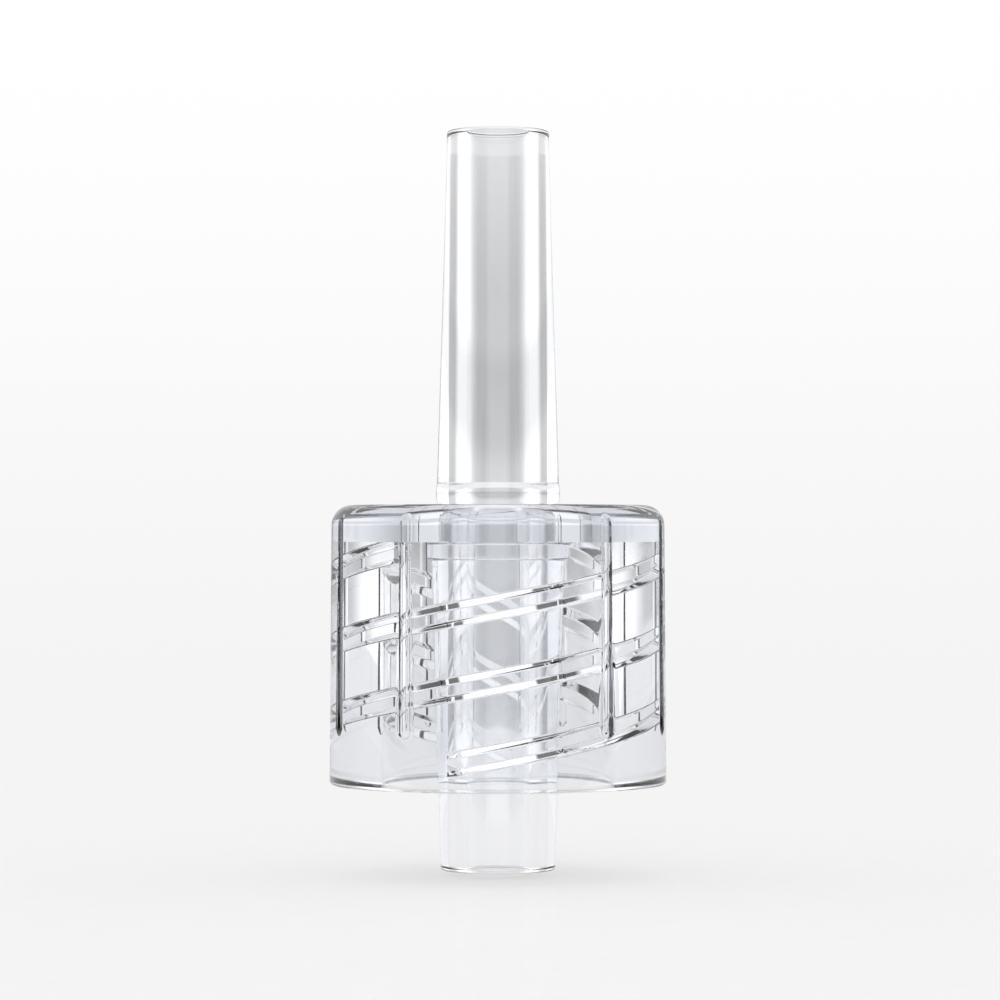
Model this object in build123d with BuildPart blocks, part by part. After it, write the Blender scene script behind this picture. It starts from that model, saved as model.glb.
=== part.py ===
from build123d import *
import math
import os

# Male luer-lock connector with a tubing stem, in clear rigid plastic.
# Two mouldings: the luer body, which carries the fluid, and the lock collar, which spins on it.
# The origin is the centre of the tip's end face, and +Z runs along the bore towards the stem.

# Luer body: bore and male tip
bore_diameter = 2.16
tip_diameter = 3.95               # at the end face
luer_taper = 0.06                 # change of diameter along the length of a luer cone
tip_edge_round = 0.10

# Luer body: stem that goes inside the tubing
overall_length = 25.45
stem_mouth_diameter = 3.52
stem_foot_diameter = 4.20
stem_land = 0.80                  # straight length at the mouth of the stem
stem_mouth_round = 0.12

# Luer body: what holds the collar on
neck_diameter = 4.00              # the journal that the collar turns on
flange_diameter = 4.90            # thrust flange, inside the collar and under its top wall
flange_thickness = 0.55
bead_diameter = 4.28              # snap bead, outside and above the collar
bead_height = 0.70

# Lock collar: shell
collar_bottom = 2.95              # height of the open end above the tip's end face
collar_height = 9.60
collar_top_diameter = 11.45
collar_open_diameter = 11.60      # draft makes the open end the wider one
top_wall = 1.28
band_height = 1.72                # plain band round the open end, below the flutes
top_edge_round = 0.70
open_edge_round = 0.12

# Lock collar: grip flutes, each the mark of an upright cutter with a ball end
flutes_per_side = 4               # left and right; the front and the back are plain
flute_step = 36.0                 # degrees from one flute to the next
flute_depth = 0.10
flute_cutter_radius = 0.30
flute_turn = 3.3                  # degrees from -Y to the middle of the plain front

# Lock collar: double-start female luer-lock thread
thread_root_diameter = 8.0
thread_crest_diameter = 7.0
thread_lead = 5.0
thread_starts = 2
thread_crest_width = 0.37
thread_flank_angle = 25.0
thread_embed = 0.15               # depth of a ridge's foot inside the wall
thread_first_height = 3.85        # middle of the ridge where it begins
thread_last_height = 10.95        # middle of the ridge where it runs into the top wall
thread_first_turn = -110.0        # degrees, where the first ridge begins

# Running fit between the two mouldings
neck_clearance = 0.06             # radial, the body's neck in the collar's hole
end_clearance = 0.05              # axial, at the flange and again at the bead

# Heights and radii that follow
collar_top = collar_bottom + collar_height
ceiling = collar_top - top_wall
band_top = collar_bottom + band_height
flange_top = ceiling - end_clearance
flange_bottom = flange_top - flange_thickness
bead_bottom = collar_top + end_clearance
bead_middle = bead_bottom + bead_height / 2
bead_top = bead_bottom + bead_height
bore_radius = bore_diameter / 2
tip_radius = tip_diameter / 2
cone_base_radius = tip_radius + luer_taper * flange_bottom / 2
neck_radius = neck_diameter / 2
stem_foot_radius = stem_foot_diameter / 2
mouth_radius = stem_mouth_diameter / 2
hole_radius = neck_radius + neck_clearance
root_radius = thread_root_diameter / 2
crest_radius = thread_crest_diameter / 2

os.makedirs("parts", exist_ok=True)

# Luer body: one outline turned round the through-bore, from the tip up to the stem's mouth.
with BuildPart() as luer_body:
    with BuildSketch(Plane.XZ):
        with BuildLine():
            Polyline(
                (stem_foot_radius, bead_bottom),
                (neck_radius, bead_bottom),
                (neck_radius, flange_top),
                (flange_diameter / 2, flange_top),
                (flange_diameter / 2, flange_bottom),
                (cone_base_radius, flange_bottom),
                (tip_radius, 0),
                (bore_radius, 0),
                (bore_radius, overall_length),
                (mouth_radius, overall_length),
                (mouth_radius, overall_length - stem_land),
                (stem_foot_radius, bead_top),
            )
            ThreePointArc(
                (stem_foot_radius, bead_top),
                (bead_diameter / 2, bead_middle),
                (stem_foot_radius, bead_bottom),
            )
        make_face()
    revolve(axis=Axis.Z)
    tip_rim = luer_body.edges().group_by(Axis.Z)[0].sort_by(SortBy.RADIUS)[-1]
    fillet(tip_rim, tip_edge_round)
    mouth_rim = luer_body.edges().group_by(Axis.Z)[-1].sort_by(SortBy.RADIUS)[-1]
    fillet(mouth_rim, stem_mouth_round)

# Cutter for one grip flute, standing on the band and reaching above the collar.
with BuildPart() as flute_cutter:
    with BuildSketch(Plane.XZ):
        with BuildLine():
            CenterArc(
                center=(0, band_top + flute_cutter_radius),
                radius=flute_cutter_radius,
                start_angle=270,
                arc_size=90,
            )
            Polyline(
                (flute_cutter_radius, band_top + flute_cutter_radius),
                (flute_cutter_radius, collar_top + top_wall),
                (0, collar_top + top_wall),
                (0, band_top),
            )
        make_face()
    revolve(axis=Axis.Z)

# One thread ridge: a trapezium swept up a helix, with its foot buried in the wall.
flank_run = math.tan(math.radians(thread_flank_angle))
foot_radius = root_radius + thread_embed
foot_width = thread_crest_width + 2 * flank_run * (foot_radius - crest_radius)
with BuildPart() as thread_ridge:
    with BuildLine() as ridge_path:
        Helix(
            pitch=thread_lead,
            height=thread_last_height - thread_first_height,
            radius=root_radius,
            center=(0, 0, thread_first_height),
        )
    with BuildSketch(Plane.XZ):
        with BuildLine():
            Polyline(
                (crest_radius, thread_first_height - thread_crest_width / 2),
                (foot_radius, thread_first_height - foot_width / 2),
                (foot_radius, thread_first_height + foot_width / 2),
                (crest_radius, thread_first_height + thread_crest_width / 2),
                close=True,
            )
        make_face()
    sweep(path=ridge_path.line, is_frenet=True)

# Lock collar: a drafted cup, open downwards, with a hole for the neck in its top wall.
with BuildPart() as lock_collar:
    with BuildSketch(Plane.XZ):
        with BuildLine():
            Polyline(
                (hole_radius, ceiling),
                (root_radius, ceiling),
                (root_radius, collar_bottom),
                (collar_open_diameter / 2, collar_bottom),
                (collar_top_diameter / 2, collar_top),
                (hole_radius, collar_top),
                close=True,
            )
        make_face()
    revolve(axis=Axis.Z)
    top_rim = lock_collar.edges().group_by(Axis.Z)[-1].sort_by(SortBy.RADIUS)[-1]
    fillet(top_rim, top_edge_round)
    open_rim = lock_collar.edges().group_by(Axis.Z)[0].sort_by(SortBy.RADIUS)[-1]
    fillet(open_rim, open_edge_round)
    cutter_distance = collar_top_diameter / 2 + flute_cutter_radius - flute_depth
    for side_turn in (0, 180):
        with PolarLocations(
            cutter_distance,
            flutes_per_side,
            start_angle=flute_turn - 90 + flute_step + side_turn,
            angular_range=flute_step * (flutes_per_side - 1),
            endpoint=True,
        ):
            add(flute_cutter.part, mode=Mode.SUBTRACT)
    with PolarLocations(0, thread_starts, start_angle=thread_first_turn):
        add(thread_ridge.part)

luer_body.part.label = "luer_body"
export_step(luer_body.part, "parts/luer_body.step")

lock_collar.part.label = "lock_collar"
export_step(lock_collar.part, "parts/lock_collar.step")
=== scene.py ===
import math

import bmesh
import bpy
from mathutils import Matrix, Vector


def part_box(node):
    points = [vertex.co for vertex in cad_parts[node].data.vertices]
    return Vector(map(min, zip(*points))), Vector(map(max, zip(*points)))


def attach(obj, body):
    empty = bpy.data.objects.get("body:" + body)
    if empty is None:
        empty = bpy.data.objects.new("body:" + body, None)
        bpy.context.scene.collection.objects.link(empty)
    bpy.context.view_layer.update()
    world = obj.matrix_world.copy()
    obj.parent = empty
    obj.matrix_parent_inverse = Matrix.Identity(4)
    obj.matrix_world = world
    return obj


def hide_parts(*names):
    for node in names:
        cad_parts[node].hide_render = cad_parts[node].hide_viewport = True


# Looks for a clear male luer-lock connector: a luer body and the lock collar that spins on it.
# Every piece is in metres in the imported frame. The sizes below are in millimetres, as in the CAD.

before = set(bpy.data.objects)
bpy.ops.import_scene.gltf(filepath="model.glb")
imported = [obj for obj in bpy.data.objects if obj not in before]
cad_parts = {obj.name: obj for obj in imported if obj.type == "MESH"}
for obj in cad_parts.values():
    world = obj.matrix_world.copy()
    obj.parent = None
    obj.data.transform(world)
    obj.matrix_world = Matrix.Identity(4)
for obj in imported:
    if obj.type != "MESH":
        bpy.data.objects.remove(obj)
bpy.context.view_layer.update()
MM = 0.001

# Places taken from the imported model
body_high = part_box("luer_body")[1] / MM
collar_low, collar_high = (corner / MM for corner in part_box("lock_collar"))
overall_length = body_high.z
collar_bottom = collar_low.z
collar_top = collar_high.z
flange_radius = body_high.x

# Luer body
bore_radius = 1.08
tip_radius = 1.975
cone_slope = 0.03                 # change of radius along a luer cone
tip_edge_round = 0.10
mouth_radius = 1.76
stem_foot_radius = 2.10
neck_radius = 2.00                # where the collar turns
stem_land = 0.80
stem_mouth_round = 0.12
bore_edge_round = 0.05
flange_thickness = 0.55
flange_edge_round = 0.05
bead_radius = 2.14
bead_height = 0.70
turn_steps = 288                  # columns round the body

# Lock collar
collar_top_radius = 5.725
collar_open_radius = 5.80
top_wall = 1.28
band_height = 1.72
top_edge_round = 0.70
open_edge_round = 0.12
hole_edge_round = 0.06
flute_places = 10                 # every 36 degrees round the collar
flutes_per_side = 4               # so the place at the front and the one at the back are plain
flute_depth = 0.10
flute_cutter_radius = 0.30
flute_turn = 3.3                  # degrees from -Y to the middle of the plain front
flute_edge_blend = 0.02           # how far the edges of a flute are rounded
root_radius = 4.0
crest_radius = 3.5
thread_lead = 5.0
thread_pitch = 2.5
thread_crest_width = 0.37
thread_flank_angle = 25.0
thread_first_height = 3.85
thread_first_turn = -110.0
thread_last_height = 10.95
thread_edge_round = 0.025
neck_clearance = 0.06
end_clearance = 0.05

flat_inset = 0.01                 # from a rounding to the row that keeps the next face flat
same_place = 1e-8                 # metres, within which two points are one

ceiling = collar_top - top_wall
band_top = collar_bottom + band_height
hole_radius = neck_radius + neck_clearance
ridge_crest = thread_crest_width / 2
ridge_foot = ridge_crest + (root_radius - crest_radius) * math.tan(math.radians(thread_flank_angle))

# Plastic
refractive_index = 1.585          # polycarbonate
depth_tint = (0.35, 0.41, 0.53, 1.0)
wave_height = 0.000004            # metres, slow waviness of the moulded faces
mark_height = 0.0000004           # metres, fine draw marks along the pull

# Studio light by direction: brightness of each part of the room
card_below, card_level, card_above = 0.62, 0.48, 0.74
side_walls = 1.3
horizon_dip = 0.76                # share of the light left in a thin band at the horizon
front_gap = 0.16                  # dark gap between the table's edge and the front wall
front_wall = 0.98
front_lamps = 1.35
overhead = 1.1
backdrop_low, backdrop_high = 0.9, 1.0

# Table top, in metres
floor_radius = 0.16
floor_middle = 0.105              # how far its middle is behind the object
floor_drop = 0.0002               # gap under the tip


def mesh_piece(name, points, faces, crease_degrees=32):
    """A mesh object from points in millimetres, smooth but for its real edges."""
    mesh = bpy.data.meshes.new(name)
    mesh.from_pydata([(x * MM, y * MM, z * MM) for x, y, z in points], [], faces)
    piece = bpy.data.objects.new(name, mesh)
    bpy.context.scene.collection.objects.link(piece)
    work = bmesh.new()
    work.from_mesh(mesh)
    bmesh.ops.remove_doubles(work, verts=work.verts, dist=same_place)
    bmesh.ops.dissolve_degenerate(work, dist=same_place, edges=work.edges)
    bmesh.ops.recalc_face_normals(work, faces=work.faces)
    crease = math.radians(crease_degrees)
    for face in work.faces:
        face.smooth = True
    for edge in work.edges:
        edge.smooth = edge.calc_face_angle(0) <= crease
    work.to_mesh(mesh)
    work.free()
    return piece


def arc(centre, radius, start, end, steps):
    """Points (radius, height) along an arc, with its angles in degrees."""
    angles = [math.radians(start + (end - start) * i / steps) for i in range(steps + 1)]
    return [(centre[0] + radius * math.cos(a), centre[1] + radius * math.sin(a)) for a in angles]


def arc_through(first, middle, last, steps):
    """Points (radius, height) along the arc through three points."""
    (ax, ay), (bx, by), (cx, cy) = first, middle, last
    scale = 2 * (ax * (by - cy) + bx * (cy - ay) + cx * (ay - by))
    a, b, c = ax * ax + ay * ay, bx * bx + by * by, cx * cx + cy * cy
    x = (a * (by - cy) + b * (cy - ay) + c * (ay - by)) / scale
    y = (a * (cx - bx) + b * (ax - cx) + c * (bx - ax)) / scale
    start = math.degrees(math.atan2(ay - y, ax - x))
    end = math.degrees(math.atan2(cy - y, cx - x))
    return arc((x, y), math.hypot(ax - x, ay - y), start, end, steps)


def held_flat(outline):
    """Adds a point close to each end of every long side, so that its smooth shading stays flat."""
    held = []
    for (r0, z0), (r1, z1) in zip(outline, outline[1:] + outline[:1]):
        held.append((r0, z0))
        share = flat_inset / math.hypot(r1 - r0, z1 - z0)
        if share < 0.1:
            held += [(r0 + (r1 - r0) * s, z0 + (z1 - z0) * s) for s in (share, 1 - share)]
    return held


def turned_piece(name, outline, steps):
    """A closed outline of (radius, height) points, turned round the Z axis."""
    outline = held_flat(outline)
    points = []
    for i in range(steps):
        turn = 2 * math.pi * i / steps
        points += [(r * math.cos(turn), r * math.sin(turn), z) for r, z in outline]
    count = len(outline)
    faces = []
    for i in range(steps):
        here = i * count
        there = (i + 1) % steps * count
        for j in range(count):
            k = (j + 1) % count
            faces.append((here + j, here + k, there + k, there + j))
    return mesh_piece(name, points, faces)


def luer_body_outline():
    """The body's outline: from the tip's rim up the outside, over the mouth, down the bore."""
    flange_top = ceiling - end_clearance
    flange_bottom = flange_top - flange_thickness
    bead_bottom = collar_top + end_clearance
    edge = flange_edge_round
    line = arc((tip_radius - tip_edge_round, tip_edge_round), tip_edge_round, -90, 0, 6)
    cone_base = tip_radius + cone_slope * flange_bottom
    line += [(cone_base, flange_bottom)]
    line += arc((flange_radius - edge, flange_bottom + edge), edge, -90, 0, 5)
    line += arc((flange_radius - edge, flange_top - edge), edge, 0, 90, 5)
    line += [(neck_radius, flange_top), (neck_radius, bead_bottom)]
    line += arc_through(
        (stem_foot_radius, bead_bottom),
        (bead_radius, bead_bottom + bead_height / 2),
        (stem_foot_radius, bead_bottom + bead_height),
        14)
    line += [(mouth_radius, overall_length - stem_land)]
    mouth = stem_mouth_round
    line += arc((mouth_radius - mouth, overall_length - mouth), mouth, 0, 90, 6)
    lip = bore_edge_round
    line += arc((bore_radius + lip, overall_length - lip), lip, 90, 180, 4)
    line += arc((bore_radius + lip, lip), lip, 180, 270, 4)
    return line


def flute_half_angle():
    """Half the angle that one flute takes up on the collar's wall."""
    distance = collar_top_radius + flute_cutter_radius - flute_depth
    top = distance**2 + collar_top_radius**2 - flute_cutter_radius**2
    return math.acos(top / (2 * distance * collar_top_radius))


def wall_angles():
    """Angles of the collar's columns, gathered towards the edges of every flute."""
    half = flute_half_angle()
    land = math.pi / flute_places - half
    steps = 20
    angles = []
    for i in range(flute_places):
        centre = math.radians(flute_turn - 90) + 2 * math.pi * i / flute_places
        for j in range(steps):
            along = math.sin(math.pi * (j / steps - 0.5))
            angles.append(centre + half * along)
            angles.append(centre + half + land + land * along)
    return sorted(angle % (2 * math.pi) for angle in angles)


def shell_radius(height):
    """The collar's outside without its flutes: a drafted wall with two rounded rims."""
    share = (height - collar_bottom) / (collar_top - collar_bottom)
    radius = collar_open_radius + (collar_top_radius - collar_open_radius) * share
    above = height - (collar_top - top_edge_round)
    if above > 0:
        radius -= top_edge_round - math.sqrt(max(0, top_edge_round**2 - above**2))
    below = collar_bottom + open_edge_round - height
    if below > 0:
        radius -= open_edge_round - math.sqrt(max(0, open_edge_round**2 - below**2))
    return radius


def flute_radius(angle, height):
    """How far out the wall of the nearest flute is, or None away from the flutes."""
    above = height - band_top
    if above <= 0:
        return None
    cutter = flute_cutter_radius
    if above < flute_cutter_radius:
        cutter *= math.sqrt(1 - (1 - above / flute_cutter_radius) ** 2)
    step = 2 * math.pi / flute_places
    turn = angle - math.radians(flute_turn - 90)
    place = round(turn / step)
    if place % (flutes_per_side + 1) == 0:
        return None
    offset = turn - place * step
    distance = collar_top_radius + flute_cutter_radius - flute_depth
    inside = cutter**2 - (distance * math.sin(offset)) ** 2
    if inside <= 0:
        return None
    return distance * math.cos(offset) - math.sqrt(inside)


def wall_radius(angle, height):
    """The collar's outside, flutes and all, with softened flute edges."""
    plain = shell_radius(height)
    flute = flute_radius(angle, height)
    if flute is None:
        return plain
    overlap = max(0, flute_edge_blend - abs(plain - flute)) / flute_edge_blend
    return min(plain, flute) - overlap**2 * flute_edge_blend / 4


def outer_heights():
    """Heights of the rows up the collar's outside."""
    turns = [math.radians(degrees) for degrees in range(0, 91, 15)]
    heights = [collar_bottom + open_edge_round * (1 - math.cos(turn)) for turn in turns]
    low = heights[-1] + flat_inset
    heights += [low + (band_top - low) * i / 5 for i in range(6)]
    heights += [band_top + flute_cutter_radius * (i / 16) ** 2 for i in range(1, 17)]
    low = heights[-1]
    high = collar_top - top_edge_round
    heights += [low + (high - flat_inset - low) * i / 8 for i in range(1, 9)] + [high]
    heights += [high + top_edge_round * math.sin(math.radians(a)) for a in range(6, 91, 6)]
    return heights


def soft_clamp(value, low, high, blend):
    """Clamps a value to a range, with a small parabola at each end of it."""
    for limit, sign in ((low, 1), (high, -1)):
        gap = sign * (value - limit)
        if gap < blend:
            value = limit + sign * max(0, gap + blend) ** 2 / (4 * blend)
    return value


def ridge_share(offset):
    """How much of a thread ridge stands at this height from its middle, from 0 to 1."""
    run = ridge_foot - ridge_crest
    return soft_clamp((ridge_foot - abs(offset)) / run, 0, 1, thread_edge_round / run)


def ridge_rows():
    """Heights from a ridge's middle of the rows that make one pitch of the thread."""
    corner = [thread_edge_round * share for share in (-1.2, -1, -0.33, 0.33, 1, 1.2)]
    flank = [ridge_crest + step for step in corner] + [ridge_foot + step for step in corner]
    low = flank[-1]
    land = [low + (thread_pitch - 2 * low) * i / 4 for i in range(1, 4)]
    return [-v for v in reversed(flank)] + [0] + flank + land


def inner_column(angle, rows):
    """Points (radius, height) up the inside of the collar, following the thread's two helices."""
    start = math.radians(thread_first_turn) % (2 * math.pi)
    climb = thread_first_height + thread_lead * (angle - start) / (2 * math.pi)
    column = []
    for turn in range(-2, 6):
        for row in rows:
            middle = climb + turn * thread_pitch
            height = min(max(middle + row, collar_bottom), ceiling)
            offset = (height - middle + thread_pitch / 2) % thread_pitch - thread_pitch / 2
            standing = thread_first_height <= height - offset + 1e-6
            standing = standing and height - offset <= thread_last_height
            depth = (root_radius - crest_radius) * ridge_share(offset) if standing else 0
            column.append((root_radius - depth, height))
    return column


def lock_collar_piece(name):
    """The collar's shell, with its flutes outside and its thread inside, as one closed mesh."""
    angles = wall_angles()
    heights = outer_heights()
    rows = ridge_rows()
    outside = []
    inside = []
    for angle in angles:
        wall = [(wall_radius(angle, height), height) for height in heights]
        wall += arc((hole_radius + hole_edge_round, collar_top - hole_edge_round),
                    hole_edge_round, 90, 180, 4)
        wall += [(hole_radius, ceiling)]
        wall = held_flat([(wall[0][0] - flat_inset, collar_bottom)] + wall)[:-2]
        outside.append(wall)
        inside.append(inner_column(angle, rows))
    out_count = len(outside[0])
    in_count = len(inside[0])
    points = []
    for angle, wall, lining in zip(angles, outside, inside):
        for radius, height in wall + lining:
            points.append((radius * math.cos(angle), radius * math.sin(angle), height))

    def wall_point(column, row):
        return column * (out_count + in_count) + row

    def lining_point(column, row):
        return wall_point(column, out_count + min(max(row, 0), in_count - 1))

    faces = []
    last = len(angles) - 1
    rows_per_lead = len(rows) * round(thread_lead / thread_pitch)
    for here in range(last + 1):
        there = (here + 1) % (last + 1)
        lift = rows_per_lead if here == last else 0
        for row in range(out_count - 1):
            faces.append((wall_point(here, row), wall_point(there, row),
                          wall_point(there, row + 1), wall_point(here, row + 1)))
        faces.append((wall_point(here, out_count - 1), wall_point(there, out_count - 1),
                      lining_point(there, in_count - 1), lining_point(here, in_count - 1)))
        faces.append((wall_point(here, 0), lining_point(here, 0),
                      lining_point(there, 0), wall_point(there, 0)))
        for row in range(-lift, in_count - 1 + lift):
            corners = [lining_point(here, row), lining_point(there, row + lift),
                       lining_point(there, row + 1 + lift), lining_point(here, row + 1)]
            corners = list(dict.fromkeys(corners))
            if len(corners) > 2:
                faces.append(corners)
    return mesh_piece(name, points, faces)


def link(tree, source, target):
    """Joins one node's output to another's input."""
    tree.links.new(source, target)


def noise(tree, coordinates, stretch, scale, detail):
    """A noise texture whose grain is stretched by different amounts along X, Y and Z."""
    mapping = tree.nodes.new("ShaderNodeMapping")
    mapping.inputs["Scale"].default_value = stretch
    texture = tree.nodes.new("ShaderNodeTexNoise")
    texture.inputs["Scale"].default_value = scale
    texture.inputs["Detail"].default_value = detail
    link(tree, coordinates, mapping.inputs["Vector"])
    link(tree, mapping.outputs["Vector"], texture.inputs["Vector"])
    return texture.outputs["Fac"]


def spread(tree, value, low, high):
    """A noise value, mostly from 0.3 to 0.7, mapped to a range."""
    node = tree.nodes.new("ShaderNodeMapRange")
    node.inputs["From Min"].default_value = 0.3
    node.inputs["From Max"].default_value = 0.7
    node.inputs["To Min"].default_value = low
    node.inputs["To Max"].default_value = high
    link(tree, value, node.inputs["Value"])
    return node.outputs["Result"]


def clear_plastic(name, dull_tint, clean_tint, density):
    """Water-clear moulded polycarbonate: draw marks along the pull, faint waviness and haze.

    The noise scales are per metre, and density is the absorption per metre of the depth tint.
    """
    material = bpy.data.materials.new(name)
    material.use_nodes = True
    tree = material.node_tree
    shader = tree.nodes["Principled BSDF"]
    shader.inputs["IOR"].default_value = refractive_index
    shader.inputs["Transmission Weight"].default_value = 1.0
    place = tree.nodes.new("ShaderNodeTexCoord").outputs["Object"]
    draw_marks = noise(tree, place, (1.0, 1.0, 0.02), 9000.0, 3.0)
    waviness = noise(tree, place, (1.0, 1.0, 0.35), 420.0, 1.0)
    haze = noise(tree, place, (1.0, 1.0, 0.6), 700.0, 4.0)
    tint = tree.nodes.new("ShaderNodeMix")
    tint.data_type = "RGBA"
    tint.inputs["A"].default_value = dull_tint
    tint.inputs["B"].default_value = clean_tint
    link(tree, spread(tree, haze, 0.0, 1.0), tint.inputs["Factor"])
    link(tree, tint.outputs["Result"], shader.inputs["Base Color"])
    link(tree, spread(tree, haze, 0.012, 0.03), shader.inputs["Roughness"])
    waves = tree.nodes.new("ShaderNodeBump")
    waves.inputs["Strength"].default_value = 1.0
    waves.inputs["Distance"].default_value = wave_height
    link(tree, waviness, waves.inputs["Height"])
    marks = tree.nodes.new("ShaderNodeBump")
    marks.inputs["Strength"].default_value = 1.0
    marks.inputs["Distance"].default_value = mark_height
    link(tree, draw_marks, marks.inputs["Height"])
    link(tree, waves.outputs["Normal"], marks.inputs["Normal"])
    link(tree, marks.outputs["Normal"], shader.inputs["Normal"])
    depth = tree.nodes.new("ShaderNodeVolumeAbsorption")
    depth.inputs["Color"].default_value = depth_tint
    depth.inputs["Density"].default_value = density
    link(tree, depth.outputs["Volume"], tree.nodes["Material Output"].inputs["Volume"])
    return material


def floor_paper():
    """Matt, evenly lit white table top with a faint polish."""
    material = bpy.data.materials.new("floor_paper")
    material.use_nodes = True
    tree = material.node_tree
    tree.nodes.remove(tree.nodes["Principled BSDF"])
    place = tree.nodes.new("ShaderNodeTexCoord").outputs["Object"]
    grain = noise(tree, place, (1.0, 1.0, 1.0), 900.0, 4.0)
    colour = tree.nodes.new("ShaderNodeMix")
    colour.data_type = "RGBA"
    colour.inputs["A"].default_value = (0.888, 0.882, 0.886, 1.0)
    colour.inputs["B"].default_value = (0.898, 0.892, 0.896, 1.0)
    link(tree, spread(tree, grain, 0.0, 1.0), colour.inputs["Factor"])
    matt = tree.nodes.new("ShaderNodeBsdfDiffuse")
    link(tree, colour.outputs["Result"], matt.inputs["Color"])
    polish = tree.nodes.new("ShaderNodeBsdfGlossy")
    polish.inputs["Roughness"].default_value = 0.05
    glow = tree.nodes.new("ShaderNodeEmission")
    link(tree, colour.outputs["Result"], glow.inputs["Color"])
    lit = tree.nodes.new("ShaderNodeMixShader")
    lit.inputs["Fac"].default_value = 0.7
    link(tree, matt.outputs["BSDF"], lit.inputs[1])
    link(tree, glow.outputs["Emission"], lit.inputs[2])
    both = tree.nodes.new("ShaderNodeMixShader")
    both.inputs["Fac"].default_value = 0.03
    link(tree, lit.outputs["Shader"], both.inputs[1])
    link(tree, polish.outputs["BSDF"], both.inputs[2])
    link(tree, both.outputs["Shader"], tree.nodes["Material Output"].inputs["Surface"])
    return material


def floor_disc():
    """A round table top just under the tip, with its middle some way behind it."""
    rings = [0.0, 0.01, 0.03, floor_radius]
    steps = 96
    points = []
    for ring in rings:
        for i in range(steps):
            turn = 2 * math.pi * i / steps
            across = ring * math.cos(turn) / MM
            away = (floor_middle + ring * math.sin(turn)) / MM
            points.append((across, away, -floor_drop / MM))
    faces = []
    for ring in range(len(rings) - 1):
        for i in range(steps):
            j = (i + 1) % steps
            faces.append((ring * steps + i, ring * steps + j,
                          (ring + 1) * steps + j, (ring + 1) * steps + i))
    return mesh_piece("floor", points, faces)


def math_node(tree, operation, first, second=None):
    """A math node's result. Either value may be a number or a socket."""
    node = tree.nodes.new("ShaderNodeMath")
    node.operation = operation
    for socket, value in zip(node.inputs, (first, second)):
        if isinstance(value, (int, float)):
            socket.default_value = value
        elif value is not None:
            link(tree, value, socket)
    return node.outputs["Value"]


def ramp(tree, value, start, end, low, high):
    """Goes smoothly from low to high as value goes from start to end. Both may be sockets."""
    node = tree.nodes.new("ShaderNodeMapRange")
    node.interpolation_type = "SMOOTHSTEP"
    node.inputs["From Min"].default_value = start
    node.inputs["From Max"].default_value = end
    link(tree, value, node.inputs["Value"])
    mix = tree.nodes.new("ShaderNodeMix")
    link(tree, node.outputs["Result"], mix.inputs["Factor"])
    for socket, setting in ((mix.inputs["A"], low), (mix.inputs["B"], high)):
        if isinstance(setting, (int, float)):
            socket.default_value = setting
        else:
            link(tree, setting, socket)
    return mix.outputs["Result"]


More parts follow.
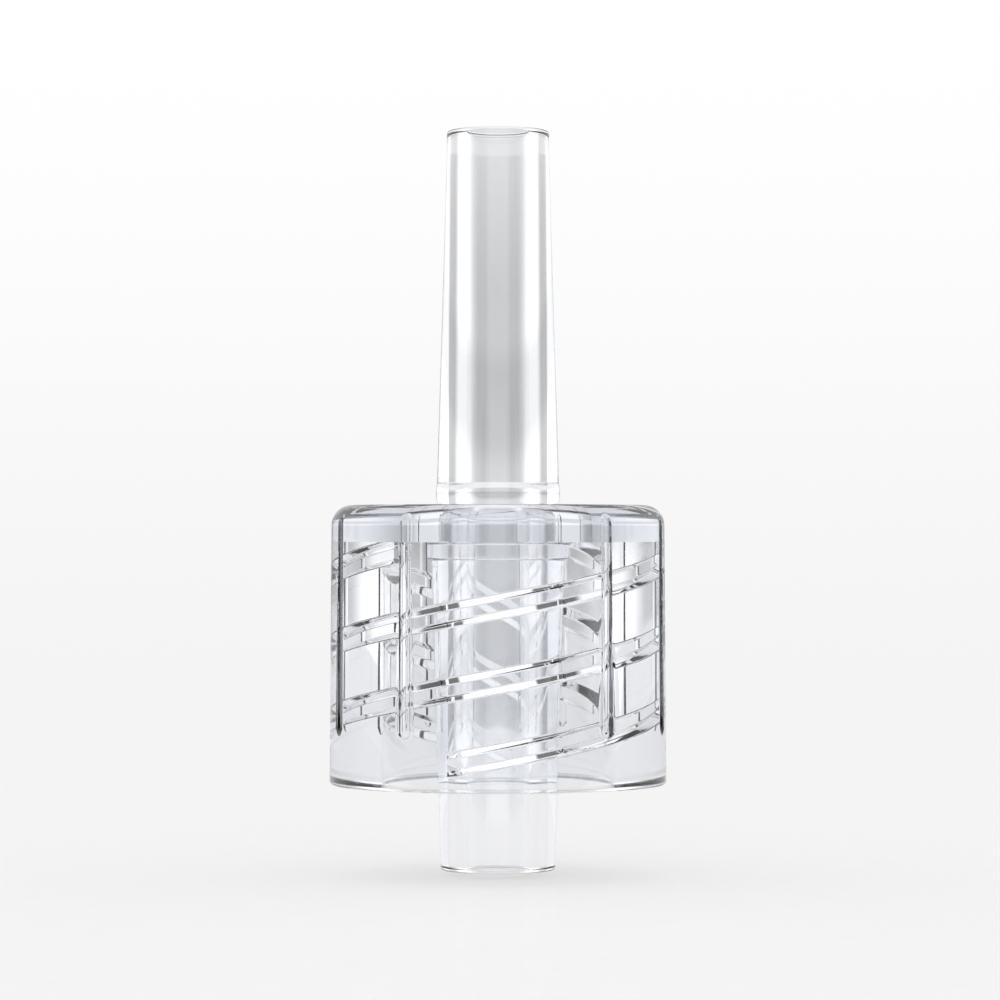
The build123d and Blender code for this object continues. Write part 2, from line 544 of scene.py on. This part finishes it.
def studio_world():
    """Soft studio light by direction: a grey card behind, pale walls at the sides and above.

    Turn is in degrees away from straight behind the object, and rise in degrees above level.
    The camera itself sees a plain pale backdrop instead.
    """
    world = bpy.data.worlds.new("studio")
    bpy.context.scene.world = world
    world.use_nodes = True
    tree = world.node_tree
    split = tree.nodes.new("ShaderNodeSeparateXYZ")
    link(tree, tree.nodes.new("ShaderNodeTexCoord").outputs["Generated"], split.inputs["Vector"])
    x, y, z = split.outputs
    turn = math_node(tree, "ABSOLUTE", math_node(tree, "ARCTAN2", x, y))
    turn = math_node(tree, "MULTIPLY", turn, 180 / math.pi)
    rise = math_node(tree, "MULTIPLY", math_node(tree, "ARCSINE", z), 180 / math.pi)
    card = ramp(tree, rise, -1.0, 1.0, card_below, card_level)
    card = ramp(tree, rise, 1.0, 4.5, card, card_above)
    back = ramp(tree, turn, 15.0, 46.0, card, side_walls)
    off_horizon = math_node(tree, "ABSOLUTE", math_node(tree, "SUBTRACT", rise, -0.25))
    horizon = ramp(tree, off_horizon, 0.4, 1.0, horizon_dip, 1.0)
    back = math_node(tree, "MULTIPLY", back, horizon)
    off_gap = math_node(tree, "ABSOLUTE", math_node(tree, "SUBTRACT", rise, -3.0))
    front = ramp(tree, off_gap, 2.4, 3.2, front_gap, front_wall)
    front = ramp(tree, turn, 142.0, 146.0, front, front_lamps)
    light = ramp(tree, turn, 92.0, 104.0, back, front)
    light = ramp(tree, rise, 30.0, 45.0, light, overhead)
    backdrop = ramp(tree, rise, -3.5, 7.5, backdrop_low, backdrop_high)
    path = tree.nodes.new("ShaderNodeLightPath")
    seen = tree.nodes.new("ShaderNodeMix")
    link(tree, path.outputs["Is Camera Ray"], seen.inputs["Factor"])
    link(tree, light, seen.inputs["A"])
    link(tree, backdrop, seen.inputs["B"])
    link(tree, seen.outputs["Result"], tree.nodes["Background"].inputs["Strength"])
    tree.nodes["Background"].inputs["Color"].default_value = (1.0, 1.0, 1.0, 1.0)


def camera():
    """A long lens, level with the upper part of the collar and aimed at the object's middle."""
    data = bpy.data.cameras.new("camera")
    data.lens = 149.4
    data.sensor_width = 36.0
    data.clip_start = 0.005
    eye = bpy.data.objects.new("camera", data)
    bpy.context.scene.collection.objects.link(eye)
    eye.location = (0.0, -0.143, 0.0115)
    aim = Vector((0.00007, 0.0, body_high.z * MM / 2)) - eye.location
    eye.rotation_euler = aim.to_track_quat("-Z", "Y").to_euler()
    bpy.context.scene.camera = eye


camera()
studio_world()
bpy.context.scene.view_settings.view_transform = "Standard"
bpy.context.scene.cycles.max_bounces = 40
bpy.context.scene.cycles.transmission_bounces = 40

luer_body = turned_piece("luer_body_visual", luer_body_outline(), turn_steps)
luer_body.data.materials.append(
    clear_plastic("clear_body", (0.985, 0.99, 0.998, 1.0), (0.996, 0.998, 1.0, 1.0), 45.0))
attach(luer_body, "body")
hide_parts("luer_body")

lock_collar = lock_collar_piece("lock_collar_visual")
lock_collar.data.materials.append(
    clear_plastic("clear_collar", (0.982, 0.988, 0.997, 1.0), (0.995, 0.997, 1.0, 1.0), 50.0))
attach(lock_collar, "collar")
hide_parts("lock_collar")

floor = floor_disc()
floor.data.materials.append(floor_paper())
